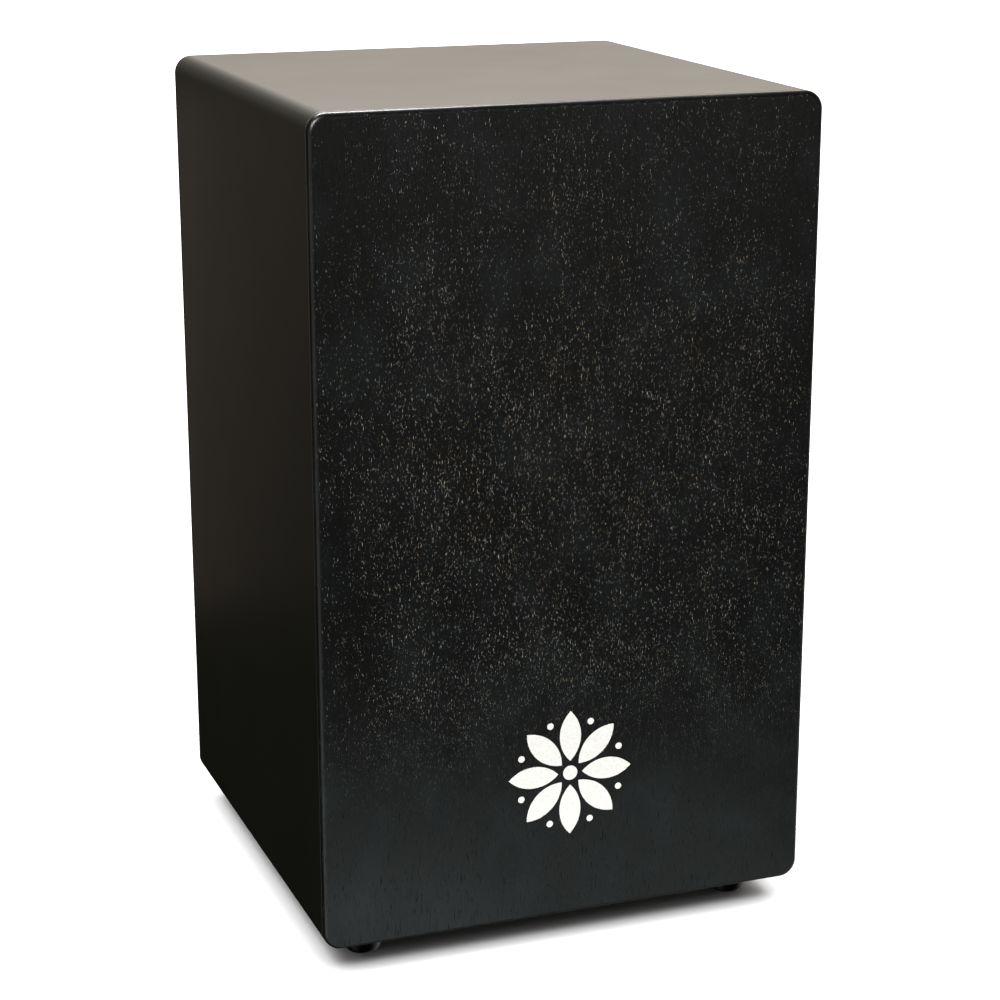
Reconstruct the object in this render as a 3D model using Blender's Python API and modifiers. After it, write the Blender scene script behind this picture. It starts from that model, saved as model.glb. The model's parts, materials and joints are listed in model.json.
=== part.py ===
"""A snare cajon, the box drum that its player sits on.

Four mitred boards make the box, with glue blocks in its corners. A thin front plate is glued
over its front and a back plate with a sound hole is screwed over its back. It stands on four
rubber feet. A rail on two steel brackets runs across the inside. Two steel end plates are
clamped to it, and each carries a set of snare wires whose free ends lean on the back of the
front plate and spring off it when the plate is struck.

Metres, +Z up. The origin is on the floor below the middle of the box. The front faces -Y.
"""

import math
from collections import namedtuple

import bmesh
import bpy
from mathutils import Matrix, Vector

# The box, over its plates but without its feet
BODY_WIDTH = 0.283
BODY_DEPTH = 0.279
BODY_HEIGHT = 0.450
WALL = 0.012
CORNER_RADIUS = 0.010
FRONT_PLATE_THICKNESS = 0.005
BACK_PLATE_THICKNESS = 0.005
FRONT_EDGE_RADIUS = 0.003
BACK_EDGE_RADIUS = 0.0025

# The sound hole in the back plate, with its centre above the middle of the box
SOUND_HOLE_RADIUS = 0.059
SOUND_HOLE_ABOVE_MIDDLE = 0.040
SOUND_HOLE_CHAMFER = 0.0015

# Triangular glue blocks, with their sharp tips cut off
BLOCK_LEG = 0.018
BLOCK_TIP = 0.002
BLOCK_END_SPACE = 0.006

# Rubber feet; the inset is from the faces of the box to the centre of a foot
FOOT_HEIGHT = 0.015
FOOT_TOP_RADIUS = 0.0115
FOOT_BASE_RADIUS = 0.0095
FOOT_EDGE_RADIUS = 0.0025
FOOT_INSET = 0.030
FOOT_RECESS_DEPTH = 0.0065
FOOT_RECESS_SPACE = 0.0005
WASHER_RADIUS = 0.0045
WASHER_THICKNESS = 0.0010

# The rail that carries the snares
RAIL_SECTION = 0.022
RAIL_EDGE = 0.001
RAIL_TO_FRONT_PLATE = 0.009

# Steel angle brackets under the ends of the rail
BRACKET_THICKNESS = 0.002
BRACKET_WIDTH = 0.018
BRACKET_LEG = 0.030
BRACKET_BEND_RADIUS = 0.003
BRACKET_HOLE_TO_EDGE = 0.006
BRACKET_WALL_SCREW_PITCH = 0.011

# Snare sets: strands in a solder bar, which flexes on the top edge of a flat steel end plate.
# The headroom is from the tips of the strands to the underside of the top board.
SNARE_FROM_MIDDLE = 0.060
SNARE_HEADROOM = 0.014
SNARE_PLATE_THICKNESS = 0.0008
SNARE_PLATE_ABOVE_RAIL = 0.006
STRAND_COUNT = 10
STRAND_PITCH = 0.0036
STRAND_RADIUS = 0.001
STRAND_LENGTH = 0.118
SOLDER_BAR_HEIGHT = 0.003
SOLDER_COVER = 0.0003

# Steel strips that press the end plates against the rail
CLAMP_HEIGHT = 0.010
CLAMP_THICKNESS = 0.0015
CLAMP_SIDE_SPACE = 0.0035
CLAMP_END = 0.005

# Screws: how far they bite into the last piece, or how much of it they leave beyond their tip
BACK_SCREW_BITE = 0.015
CLAMP_SCREW_BITE = 0.009
WALL_LEFT_BEYOND_SCREW = 0.0045
SCREW_TIP = 0.003
BACK_SCREWS_UP_A_SIDE = 4
BACK_SCREWS_ALONG_AN_END = 2
BACK_SCREW_FROM_CORNER = 0.040
BACK_SCREW_END_PITCH = 0.100

# Touching pieces keep this gap, and a hole is this much wider each way than what is in it
FIT_GAP = 0.0003

# Each screw: radius of the shank, length under the head, and the head
Screw = namedtuple("Screw", "shank length head_radius head_height countersunk")
FOOT_SCREW_SEAT = FOOT_RECESS_DEPTH - WASHER_THICKNESS - 2 * FIT_GAP
FOOT_SCREW_LENGTH = FOOT_HEIGHT + FIT_GAP + WALL - WALL_LEFT_BEYOND_SCREW - FOOT_SCREW_SEAT
BRACKET_SCREW_LENGTH = BRACKET_THICKNESS + 2 * FIT_GAP + WALL - WALL_LEFT_BEYOND_SCREW
CLAMP_SCREW_LENGTH = CLAMP_THICKNESS + SNARE_PLATE_THICKNESS + 3 * FIT_GAP + CLAMP_SCREW_BITE
BACK_SCREW = Screw(0.0015, BACK_PLATE_THICKNESS + BACK_SCREW_BITE, 0.0028, 0.0020, True)
FOOT_SCREW = Screw(0.00175, FOOT_SCREW_LENGTH, 0.0035, 0.0022, False)
BRACKET_SCREW = Screw(0.0015, BRACKET_SCREW_LENGTH, 0.0028, 0.0018, False)
CLAMP_SCREW = Screw(0.0015, CLAMP_SCREW_LENGTH, 0.0026, 0.0016, False)

# Fineness of the round shapes
CORNER_SEGMENTS = 8
EDGE_SEGMENTS = 3
FOOT_STEPS = 24
SCREW_STEPS = 12
STRAND_SIDES = 8
SOUND_HOLE_STEPS = 64
CUTTER_REACH = 0.004
WELD_DISTANCE = 1e-6

# Places that follow from the sizes above
BOX_BOTTOM = FOOT_HEIGHT + FIT_GAP
BOX_MIDDLE = BOX_BOTTOM + BODY_HEIGHT / 2
FRONT_PLATE_BACK = -BODY_DEPTH / 2 + FRONT_PLATE_THICKNESS
BACK_PLATE_FRONT = BODY_DEPTH / 2 - BACK_PLATE_THICKNESS
BOARD_FRONT = FRONT_PLATE_BACK + FIT_GAP
BOARD_BACK = BACK_PLATE_FRONT - FIT_GAP
BOARD_DEPTH = BOARD_BACK - BOARD_FRONT
BOARD_CENTRE_Y = (BOARD_FRONT + BOARD_BACK) / 2
INNER_HALF_WIDTH = BODY_WIDTH / 2 - WALL
SNARE_TIP = BOX_BOTTOM + BODY_HEIGHT - WALL - SNARE_HEADROOM
SNARE_ROOT = SNARE_TIP - STRAND_LENGTH
SNARE_PLATE_TOP = SNARE_ROOT + SOLDER_BAR_HEIGHT / 2
RAIL_TOP = SNARE_PLATE_TOP - SNARE_PLATE_ABOVE_RAIL
RAIL_BOTTOM = RAIL_TOP - RAIL_SECTION
RAIL_FRONT = FRONT_PLATE_BACK + RAIL_TO_FRONT_PLATE
RAIL_CENTRE_Y = RAIL_FRONT + RAIL_SECTION / 2
SNARE_PLATE_Y = RAIL_FRONT - FIT_GAP - SNARE_PLATE_THICKNESS / 2
SNARE_PLATE_FRONT = SNARE_PLATE_Y - SNARE_PLATE_THICKNESS / 2
SNARE_PLATE_WIDTH = STRAND_COUNT * STRAND_PITCH
SOLDER_BAR_THICKNESS = 2 * (STRAND_RADIUS + SOLDER_COVER)
SNARE_ROOT_Y = SNARE_PLATE_FRONT - FIT_GAP - SOLDER_BAR_THICKNESS / 2
CLAMP_Y = SNARE_PLATE_FRONT - FIT_GAP - CLAMP_THICKNESS / 2
CLAMP_CENTRE_HEIGHT = RAIL_TOP - CLAMP_HEIGHT / 2
CLAMP_SCREW_FROM_SNARE = SNARE_PLATE_WIDTH / 2 + CLAMP_SIDE_SPACE

Finish = namedtuple("Finish", "name colour roughness metallic")
BLACK_LACQUER = Finish("satin_black_lacquer", (0.012, 0.011, 0.010), 0.45, 0.0)
BLACK_VENEER = Finish("black_stained_veneer", (0.010, 0.011, 0.011), 0.30, 0.0)
PINE = Finish("bare_pine", (0.62, 0.45, 0.26), 0.65, 0.0)
BEECH = Finish("bare_beech", (0.58, 0.37, 0.22), 0.55, 0.0)
RUBBER = Finish("black_rubber", (0.015, 0.015, 0.017), 0.50, 0.0)
ZINC = Finish("zinc_plated_steel", (0.62, 0.62, 0.60), 0.35, 1.0)
BLACK_STEEL = Finish("blackened_steel", (0.03, 0.03, 0.03), 0.40, 1.0)
SNARE_STEEL = Finish("snare_steel", (0.70, 0.68, 0.64), 0.30, 1.0)


def start_scene():
    """An empty scene with one collection for the pieces and one for the cutters."""
    for old in list(bpy.data.objects):
        bpy.data.objects.remove(old)
    made = []
    for name in ("cajon", "cutters"):
        collection = bpy.data.collections.new(name)
        bpy.context.scene.collection.children.link(collection)
        made.append(collection)
    return made


PIECES, CUTTERS = start_scene()


def material_for(finish):
    """The Principled material of a finish, made once and shared."""
    material = bpy.data.materials.get(finish.name)
    if material is None:
        material = bpy.data.materials.new(finish.name)
        material.use_nodes = True
        shader = material.node_tree.nodes["Principled BSDF"]
        shader.inputs["Base Color"].default_value = (*finish.colour, 1.0)
        shader.inputs["Roughness"].default_value = finish.roughness
        shader.inputs["Metallic"].default_value = finish.metallic
    return material


def piece(name, mesh, finish, place=None):
    """One named piece of the cajon."""
    made = bpy.data.objects.new(name, mesh)
    made.matrix_world = place or Matrix.Identity(4)
    mesh.materials.clear()
    mesh.materials.append(material_for(finish))
    mesh.shade_smooth()
    mesh.set_sharp_from_angle(angle=math.radians(35))
    PIECES.objects.link(made)
    return made


def helper(name, mesh, place):
    """A shape that only cuts or joins a piece, and isn't a piece itself."""
    made = bpy.data.objects.new(name, mesh)
    made.matrix_world = place
    made.hide_render = True
    made.display_type = "WIRE"
    CUTTERS.objects.link(made)
    return made


def combine(target, other, operation):
    boolean = target.modifiers.new(other.name, "BOOLEAN")
    boolean.operation = operation
    boolean.object = other


def facing(direction):
    """The turn that points a shape's +Z along a direction."""
    return Vector(direction).to_track_quat("Z", "Y").to_matrix().to_4x4()


def arc(centre, radius, start, end, segments):
    """Points along an arc, with its angles in degrees from +X."""
    angles = [math.radians(start + (end - start) * k / segments) for k in range(segments + 1)]
    return [(centre[0] + radius * math.cos(a), centre[1] + radius * math.sin(a)) for a in angles]


def outline_mesh(name, points, depth):
    """A flat outline extruded to a depth along Z, half each way, with its caps welded on."""
    curve = bpy.data.curves.new(name, "CURVE")
    curve.dimensions = "2D"
    curve.fill_mode = "BOTH"
    curve.extrude = depth / 2
    spline = curve.splines.new("POLY")
    spline.points.add(len(points) - 1)
    for point, (x, y) in zip(spline.points, points):
        point.co = (x, y, 0.0, 1.0)
    spline.use_cyclic_u = True
    drawn = bpy.data.objects.new(name, curve)
    PIECES.objects.link(drawn)
    bpy.context.view_layer.update()
    graph = bpy.context.evaluated_depsgraph_get()
    mesh = bpy.data.meshes.new_from_object(drawn.evaluated_get(graph))
    bpy.data.objects.remove(drawn)
    shape = bmesh.new()
    shape.from_mesh(mesh)
    bmesh.ops.remove_doubles(shape, verts=shape.verts, dist=WELD_DISTANCE)
    shape.to_mesh(mesh)
    shape.free()
    return mesh


def turned(name, profile, steps, closed=False):
    """A turned shape: a profile of (radius, height) points, and a full turn about Z.

    An open profile starts and ends on the axis. A closed one makes a ring.
    """
    mesh = bpy.data.meshes.new(name)
    count = len(profile)
    edges = [(k, (k + 1) % count) for k in range(count if closed else count - 1)]
    mesh.from_pydata([(radius, 0.0, height) for radius, height in profile], edges, [])
    spun = bpy.data.objects.new(name, mesh)
    PIECES.objects.link(spun)
    screw = spun.modifiers.new("turn", "SCREW")
    screw.steps = steps
    screw.render_steps = steps
    screw.use_merge_vertices = True
    screw.merge_threshold = WELD_DISTANCE
    bpy.context.view_layer.update()
    graph = bpy.context.evaluated_depsgraph_get()
    solid = bpy.data.meshes.new_from_object(spun.evaluated_get(graph))
    bpy.data.objects.remove(spun)
    return solid


def block_mesh(name, size, edge=0.0, edge_segments=1):
    """A box centred on the origin, with its edges bevelled if an edge width is given."""
    shape = bmesh.new()
    bmesh.ops.create_cube(shape, size=1.0, matrix=Matrix.Diagonal((*size, 1.0)))
    if edge:
        bmesh.ops.bevel(
            shape, geom=shape.edges[:], offset=edge, segments=edge_segments, profile=0.5, affect="EDGES"
        )
    mesh = bpy.data.meshes.new(name)
    shape.to_mesh(mesh)
    shape.free()
    return mesh


def rod_mesh(name, radius, length, sides):
    """A cylinder along Z, centred on the origin."""
    shape = bmesh.new()
    bmesh.ops.create_cone(
        shape, cap_ends=True, segments=sides, radius1=radius, radius2=radius, depth=length
    )
    mesh = bpy.data.meshes.new(name)
    shape.to_mesh(mesh)
    shape.free()
    return mesh


def screw_profile(screw):
    """A screw's outline from the middle of its head down to its point.

    Height 0 is where the head meets the surface: the top of a countersunk head, or the
    underside of a pan head.
    """
    if screw.countersunk:
        head = [(0.0, 0.0), (screw.head_radius, 0.0), (screw.shank, -screw.head_height)]
    else:
        head = [
            (0.0, screw.head_height),
            (0.65 * screw.head_radius, screw.head_height),
            (screw.head_radius, 0.45 * screw.head_height),
            (screw.head_radius, 0.0),
            (screw.shank, 0.0),
        ]
    return head + [(screw.shank, -screw.length + SCREW_TIP), (0.0, -screw.length)]


def hole_profile(screw):
    """The hole for a screw, from above the surface down to past the point."""
    radius = screw.shank + FIT_GAP
    if screw.countersunk:
        depth = screw.head_height + FIT_GAP
        spread = (screw.head_radius - screw.shank) / depth
        top = screw.head_radius + FIT_GAP + spread * CUTTER_REACH
        mouth = [(0.0, CUTTER_REACH), (top, CUTTER_REACH), (radius, -depth)]
    else:
        mouth = [(0.0, CUTTER_REACH), (radius, CUTTER_REACH)]
    return mouth + [(radius, -screw.length + SCREW_TIP - FIT_GAP), (0.0, -screw.length - FIT_GAP)]


def add_screw(name, screw, seat, direction, through, finish):
    """A screw whose head faces a direction, and its hole in each piece that it goes through."""
    place = Matrix.Translation(seat) @ facing(direction)
    piece(name, turned(name, screw_profile(screw), SCREW_STEPS), finish, place)
    hole = turned(name + "_hole", hole_profile(screw), SCREW_STEPS)
    cutter = helper(name + "_hole", hole, place)
    for target in through:
        combine(target, cutter, "DIFFERENCE")


def board_outline(length):
    """The end view of a board: its outer face at height 0, mitred and rounded at both ends."""
    half = length / 2
    shift = FIT_GAP / 2 * math.sqrt(0.5)
    first_angle = 45 + math.degrees(math.asin(FIT_GAP / 2 / CORNER_RADIUS))
    right = arc(
        (half - CORNER_RADIUS, -CORNER_RADIUS), CORNER_RADIUS, first_angle, 90, CORNER_SEGMENTS // 2
    )
    left = [(-x, y) for x, y in reversed(right)]
    inner = half - WALL - 2 * shift
    return [(inner, -WALL)] + right + left + [(-inner, -WALL)]


def box_boards():
    """The top, right, bottom and left boards, each turned a quarter from the one before it."""
    boards = {}
    sides = (
        ("top_board", BODY_WIDTH, BODY_HEIGHT, 0),
        ("right_board", BODY_HEIGHT, BODY_WIDTH, 90),
        ("bottom_board", BODY_WIDTH, BODY_HEIGHT, 180),
        ("left_board", BODY_HEIGHT, BODY_WIDTH, 270),
    )
    for name, length, across, angle in sides:
        place = (
            Matrix.Translation((0, BOARD_CENTRE_Y, BOX_MIDDLE))
            @ Matrix.Rotation(math.radians(angle), 4, "Y")
            @ Matrix.Translation((0, 0, across / 2))
            @ Matrix.Rotation(math.radians(90), 4, "X")
        )
        mesh = outline_mesh(name, board_outline(length), BOARD_DEPTH)
        boards[name] = piece(name, mesh, BLACK_LACQUER, place)
    return boards


def corner_blocks():
    """Four glue blocks, each with its square corner in an inside corner of the box."""
    leg, near, tip = BLOCK_LEG, FIT_GAP, FIT_GAP + BLOCK_TIP
    outline = [(near, near), (leg, near), (leg, tip), (tip, leg), (near, leg)]
    inner_half_height = BODY_HEIGHT / 2 - WALL
    corners = (
        ("bottom_left", -1, -1, 0),
        ("bottom_right", 1, -1, 270),
        ("top_right", 1, 1, 180),
        ("top_left", -1, 1, 90),
    )
    for corner, side, up, angle in corners:
        name = "corner_block_" + corner
        place = (
            Matrix.Translation((side * INNER_HALF_WIDTH, BOARD_CENTRE_Y, BOX_MIDDLE + up * inner_half_height))
            @ Matrix.Rotation(math.radians(angle), 4, "Y")
            @ Matrix.Rotation(math.radians(90), 4, "X")
        )
        mesh = outline_mesh(name, outline, BOARD_DEPTH - 2 * BLOCK_END_SPACE)
        piece(name, mesh, PINE, place)


def face_plate(name, thickness, edge_radius, outward, finish):
    """A plate over one end of the box, with round corners and a rounded outer edge."""
    shape = bmesh.new()
    size = Matrix.Diagonal((BODY_WIDTH, thickness, BODY_HEIGHT, 1.0))
    bmesh.ops.create_cube(shape, size=1.0, matrix=size)
    across = [e for e in shape.edges if abs(e.verts[0].co.y - e.verts[1].co.y) > thickness / 2]
    bmesh.ops.bevel(
        shape, geom=across, offset=CORNER_RADIUS, segments=CORNER_SEGMENTS, profile=0.5, affect="EDGES"
    )
    rim = [e for e in shape.edges if all(v.co.y * outward > thickness / 4 for v in e.verts)]
    bmesh.ops.bevel(
        shape, geom=rim, offset=edge_radius, segments=EDGE_SEGMENTS, profile=0.5, affect="EDGES"
    )
    mesh = bpy.data.meshes.new(name)
    shape.to_mesh(mesh)
    shape.free()
    centre_y = outward * (BODY_DEPTH - thickness) / 2
    return piece(name, mesh, finish, Matrix.Translation((0, centre_y, BOX_MIDDLE)))


def cut_sound_hole(back_plate):
    """The sound hole, with a chamfer round its outer rim."""
    radius, reach = SOUND_HOLE_RADIUS, CUTTER_REACH
    profile = [
        (0.0, reach),
        (radius + SOUND_HOLE_CHAMFER + reach, reach),
        (radius, -SOUND_HOLE_CHAMFER),
        (radius, -BACK_PLATE_THICKNESS - reach),
        (0.0, -BACK_PLATE_THICKNESS - reach),
    ]
    centre = Vector((0, BODY_DEPTH / 2, BOX_MIDDLE + SOUND_HOLE_ABOVE_MIDDLE))
    place = Matrix.Translation(centre) @ facing((0, 1, 0))
    cutter = helper("sound_hole", turned("sound_hole", profile, SOUND_HOLE_STEPS), place)
    combine(back_plate, cutter, "DIFFERENCE")


def back_screw_seats():
    """(board, x, height) of each back screw, in the middle of the board edges."""
    from_centre = BODY_WIDTH / 2 - WALL / 2
    lowest = BOX_BOTTOM + BACK_SCREW_FROM_CORNER
    pitch = (BODY_HEIGHT - 2 * BACK_SCREW_FROM_CORNER) / (BACK_SCREWS_UP_A_SIDE - 1)
    seats = []
    for board, side in (("left_board", -1), ("right_board", 1)):
        seats += [(board, side * from_centre, lowest + k * pitch) for k in range(BACK_SCREWS_UP_A_SIDE)]
    end_x = -BACK_SCREW_END_PITCH * (BACK_SCREWS_ALONG_AN_END - 1) / 2
    for board, up in (("bottom_board", -1), ("top_board", 1)):
        height = BOX_MIDDLE + up * (BODY_HEIGHT - WALL) / 2
        seats += [
            (board, end_x + k * BACK_SCREW_END_PITCH, height) for k in range(BACK_SCREWS_ALONG_AN_END)
        ]
    return seats


def back_screws(back_plate, boards):
    for number, (board, x, height) in enumerate(back_screw_seats(), 1):
        add_screw(
            f"back_screw_{number:02d}",
            BACK_SCREW,
            (x, BODY_DEPTH / 2, height),
            (0, 1, 0),
            (back_plate, boards[board]),
            BLACK_STEEL,
        )


def feet(bottom_board):
    """Each rubber foot, with the washer and the screw in its recess."""
    hole = FOOT_SCREW.shank + FIT_GAP
    recess = WASHER_RADIUS + FOOT_RECESS_SPACE
    tread = arc(
        (FOOT_BASE_RADIUS - FOOT_EDGE_RADIUS, FOOT_EDGE_RADIUS), FOOT_EDGE_RADIUS, 0, -90, 2 * EDGE_SEGMENTS
    )
    foot = [(FOOT_TOP_RADIUS, FOOT_HEIGHT)] + tread
    foot += [(recess, 0.0), (recess, FOOT_RECESS_DEPTH), (hole, FOOT_RECESS_DEPTH), (hole, FOOT_HEIGHT)]
    washer_top = FOOT_RECESS_DEPTH - FIT_GAP
    washer_bottom = washer_top - WASHER_THICKNESS
    washer = [
        (WASHER_RADIUS, washer_top),
        (WASHER_RADIUS, washer_bottom),
        (hole, washer_bottom),
        (hole, washer_top),
    ]
    for row, forward in (("front", -1), ("back", 1)):
        for hand, side in (("left", -1), ("right", 1)):
            where = f"{row}_{hand}"
            x = side * (BODY_WIDTH / 2 - FOOT_INSET)
            y = forward * (BODY_DEPTH / 2 - FOOT_INSET)
            place = Matrix.Translation((x, y, 0))
            piece("foot_" + where, turned("foot", foot, FOOT_STEPS, closed=True), RUBBER, place)
            ring = turned("washer", washer, SCREW_STEPS * 2, closed=True)
            piece("foot_washer_" + where, ring, ZINC, place)
            seat = (x, y, FOOT_SCREW_SEAT)
            add_screw("foot_screw_" + where, FOOT_SCREW, seat, (0, 0, -1), (bottom_board,), ZINC)


def snare_rail():
    """The beech rail across the inside of the box."""
    length = 2 * (INNER_HALF_WIDTH - FIT_GAP)
    mesh = block_mesh("snare_rail", (length, RAIL_SECTION, RAIL_SECTION), RAIL_EDGE)
    place = Matrix.Translation((0, RAIL_CENTRE_Y, RAIL_TOP - RAIL_SECTION / 2))
    return piece("snare_rail", mesh, BEECH, place)


def bracket_outline():
    """The end view of a bracket: one leg runs along +X and one down, from a bend at the origin."""
    leg, thick, bend = BRACKET_LEG, BRACKET_THICKNESS, BRACKET_BEND_RADIUS
    outer = arc((bend, -bend), bend, 180, 90, EDGE_SEGMENTS)
    inner = arc((bend, -bend), bend - thick, 90, 180, EDGE_SEGMENTS)
    return [(0.0, -leg)] + outer + [(leg, 0.0), (leg, -thick)] + inner + [(thick, -leg)]


def rail_brackets(rail, boards):
    """An angle bracket at each end of the rail, screwed to the side board and the rail."""
    top = RAIL_BOTTOM - FIT_GAP
    for hand, side in (("left", -1), ("right", 1)):
        name = "rail_bracket_" + hand
        outline = [(-side * x, y) for x, y in bracket_outline()]
        wall_x = side * (INNER_HALF_WIDTH - FIT_GAP)
        place = Matrix.Translation((wall_x, RAIL_CENTRE_Y, top)) @ Matrix.Rotation(math.radians(90), 4, "X")
        bracket = piece(name, outline_mesh(name, outline, BRACKET_WIDTH), ZINC, place)
        head_gap = BRACKET_THICKNESS + FIT_GAP
        lowest = top - BRACKET_LEG + BRACKET_HOLE_TO_EDGE
        for number, height in enumerate((lowest, lowest + BRACKET_WALL_SCREW_PITCH), 1):
            seat = (wall_x - side * head_gap, RAIL_CENTRE_Y, height)
            board = boards[hand + "_board"]
            add_screw(
                f"bracket_screw_{hand}_{number}", BRACKET_SCREW, seat, (-side, 0, 0), (bracket, board), ZINC
            )
        seat = (wall_x - side * (BRACKET_LEG - BRACKET_HOLE_TO_EDGE), RAIL_CENTRE_Y, top - head_gap)
        add_screw(f"rail_screw_{hand}", BRACKET_SCREW, seat, (0, 0, -1), (bracket, rail), ZINC)


def snare_plate(hand, centre_x):
    """The flat end plate that the clamp presses on the front of the rail."""
    bottom = RAIL_TOP - CLAMP_HEIGHT + FIT_GAP
    size = (SNARE_PLATE_WIDTH, SNARE_PLATE_THICKNESS, SNARE_PLATE_TOP - bottom)
    place = Matrix.Translation((centre_x, SNARE_PLATE_Y, (SNARE_PLATE_TOP + bottom) / 2))
    name = "snare_plate_" + hand
    piece(name, block_mesh(name, size), SNARE_STEEL, place)


def snare_wires(hand, centre_x):
    """The strands and their solder bar, with its origin on the line that they flex about.

    They lean forward from the bar until their tips meet the back of the front plate.
    """
    name = "snare_wires_" + hand
    root = Matrix.Translation((centre_x, SNARE_ROOT_Y, SNARE_ROOT))
    size = (SNARE_PLATE_WIDTH, SOLDER_BAR_THICKNESS, SOLDER_BAR_HEIGHT)
    wires = piece(name, block_mesh(name, size), SNARE_STEEL, root)
    forward = SNARE_ROOT_Y - (FRONT_PLATE_BACK + FIT_GAP + STRAND_RADIUS)
    lean = math.asin(forward / STRAND_LENGTH)
    along = Vector((0, -math.sin(lean), math.cos(lean)))
    first_x = -STRAND_PITCH * (STRAND_COUNT - 1) / 2
    for number in range(STRAND_COUNT):
        middle = Vector((first_x + number * STRAND_PITCH, 0, 0)) + along * STRAND_LENGTH / 2
        rod = rod_mesh("strand", STRAND_RADIUS, STRAND_LENGTH, STRAND_SIDES)
        place = root @ Matrix.Translation(middle) @ facing(along)
        combine(wires, helper(f"{name}_strand_{number + 1:02d}", rod, place), "UNION")


def snare_clamp(hand, centre_x, rail):
    """The strip over a snare's end plate, with a screw past each side of the plate."""
    name = "snare_clamp_" + hand
    length = 2 * (CLAMP_SCREW_FROM_SNARE + CLAMP_END)
    strip = piece(
        name,
        block_mesh(name, (length, CLAMP_THICKNESS, CLAMP_HEIGHT)),
        ZINC,
        Matrix.Translation((centre_x, CLAMP_Y, CLAMP_CENTRE_HEIGHT)),
    )
    head_y = CLAMP_Y - CLAMP_THICKNESS / 2 - FIT_GAP
    for number, side in enumerate((-1, 1), 1):
        seat = (centre_x + side * CLAMP_SCREW_FROM_SNARE, head_y, CLAMP_CENTRE_HEIGHT)
        add_screw(f"clamp_screw_{hand}_{number}", CLAMP_SCREW, seat, (0, -1, 0), (strip, rail), ZINC)


def build():
    boards = box_boards()
    corner_blocks()
    face_plate("front_plate", FRONT_PLATE_THICKNESS, FRONT_EDGE_RADIUS, -1, BLACK_VENEER)
    back_plate = face_plate("back_plate", BACK_PLATE_THICKNESS, BACK_EDGE_RADIUS, 1, BLACK_LACQUER)
    cut_sound_hole(back_plate)
    back_screws(back_plate, boards)
    feet(boards["bottom_board"])
    rail = snare_rail()
    rail_brackets(rail, boards)
    for hand, side in (("left", -1), ("right", 1)):
        snare_plate(hand, side * SNARE_FROM_MIDDLE)
        snare_wires(hand, side * SNARE_FROM_MIDDLE)
        snare_clamp(hand, side * SNARE_FROM_MIDDLE, rail)


build()
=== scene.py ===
import json
import math

import bmesh
import bpy
from mathutils import Matrix, Vector

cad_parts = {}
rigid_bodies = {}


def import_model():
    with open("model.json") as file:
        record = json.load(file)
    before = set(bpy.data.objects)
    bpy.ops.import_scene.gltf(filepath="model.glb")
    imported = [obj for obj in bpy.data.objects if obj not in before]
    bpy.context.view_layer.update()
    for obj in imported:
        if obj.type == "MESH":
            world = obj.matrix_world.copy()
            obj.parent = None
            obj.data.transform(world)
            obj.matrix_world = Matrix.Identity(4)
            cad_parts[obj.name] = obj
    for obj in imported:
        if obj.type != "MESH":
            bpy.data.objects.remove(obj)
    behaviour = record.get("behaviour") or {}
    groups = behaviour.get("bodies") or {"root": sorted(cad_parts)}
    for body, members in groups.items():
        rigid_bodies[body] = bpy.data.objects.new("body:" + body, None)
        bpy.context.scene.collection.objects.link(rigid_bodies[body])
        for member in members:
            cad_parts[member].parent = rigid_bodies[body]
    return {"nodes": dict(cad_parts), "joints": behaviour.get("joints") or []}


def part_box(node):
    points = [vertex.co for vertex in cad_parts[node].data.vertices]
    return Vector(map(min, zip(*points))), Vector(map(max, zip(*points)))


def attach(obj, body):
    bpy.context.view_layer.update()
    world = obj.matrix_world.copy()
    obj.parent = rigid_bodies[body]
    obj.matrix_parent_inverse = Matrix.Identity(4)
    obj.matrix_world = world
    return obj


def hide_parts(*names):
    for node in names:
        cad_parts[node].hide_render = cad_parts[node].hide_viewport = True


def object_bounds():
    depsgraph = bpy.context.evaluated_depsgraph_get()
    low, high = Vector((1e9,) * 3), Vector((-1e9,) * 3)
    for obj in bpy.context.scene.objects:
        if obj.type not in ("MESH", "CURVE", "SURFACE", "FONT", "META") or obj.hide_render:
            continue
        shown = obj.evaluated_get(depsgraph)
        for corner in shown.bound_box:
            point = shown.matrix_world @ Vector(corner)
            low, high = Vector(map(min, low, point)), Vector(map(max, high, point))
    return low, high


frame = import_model()
cadLow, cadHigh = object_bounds()
mm = 0.001
print("frame loaded:", len(frame["nodes"]), "nodes")

drum = bpy.data.collections.new("cajon")   # everything that belongs to the object, for the light linking
bpy.context.scene.collection.children.link(drum)


def boxShape(low, high):
    bm = bmesh.new()
    size = Vector(high) - Vector(low)
    middle = (Vector(high) + Vector(low)) / 2
    bmesh.ops.create_cube(bm, size=1.0, matrix=Matrix.Translation(middle) @ Matrix.Diagonal((*size, 1.0)))
    return bm


def bevelEdges(bm, edges, width, segments):
    bmesh.ops.bevel(
        bm, geom=edges, offset=width, segments=segments, profile=0.5, affect="EDGES", material=-1,
        clamp_overlap=True,
    )


def sharpEdges(bm, degrees=30):
    limit = math.radians(degrees)
    return [e for e in bm.edges if len(e.link_faces) == 2 and e.calc_face_angle() > limit]


def edgesAlong(bm, axis):
    # edges that run along one of the three axes
    found = []
    for e in bm.edges:
        run = e.verts[1].co - e.verts[0].co
        if abs(run[axis]) > 0.999 * run.length:
            found.append(e)
    return found


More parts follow.
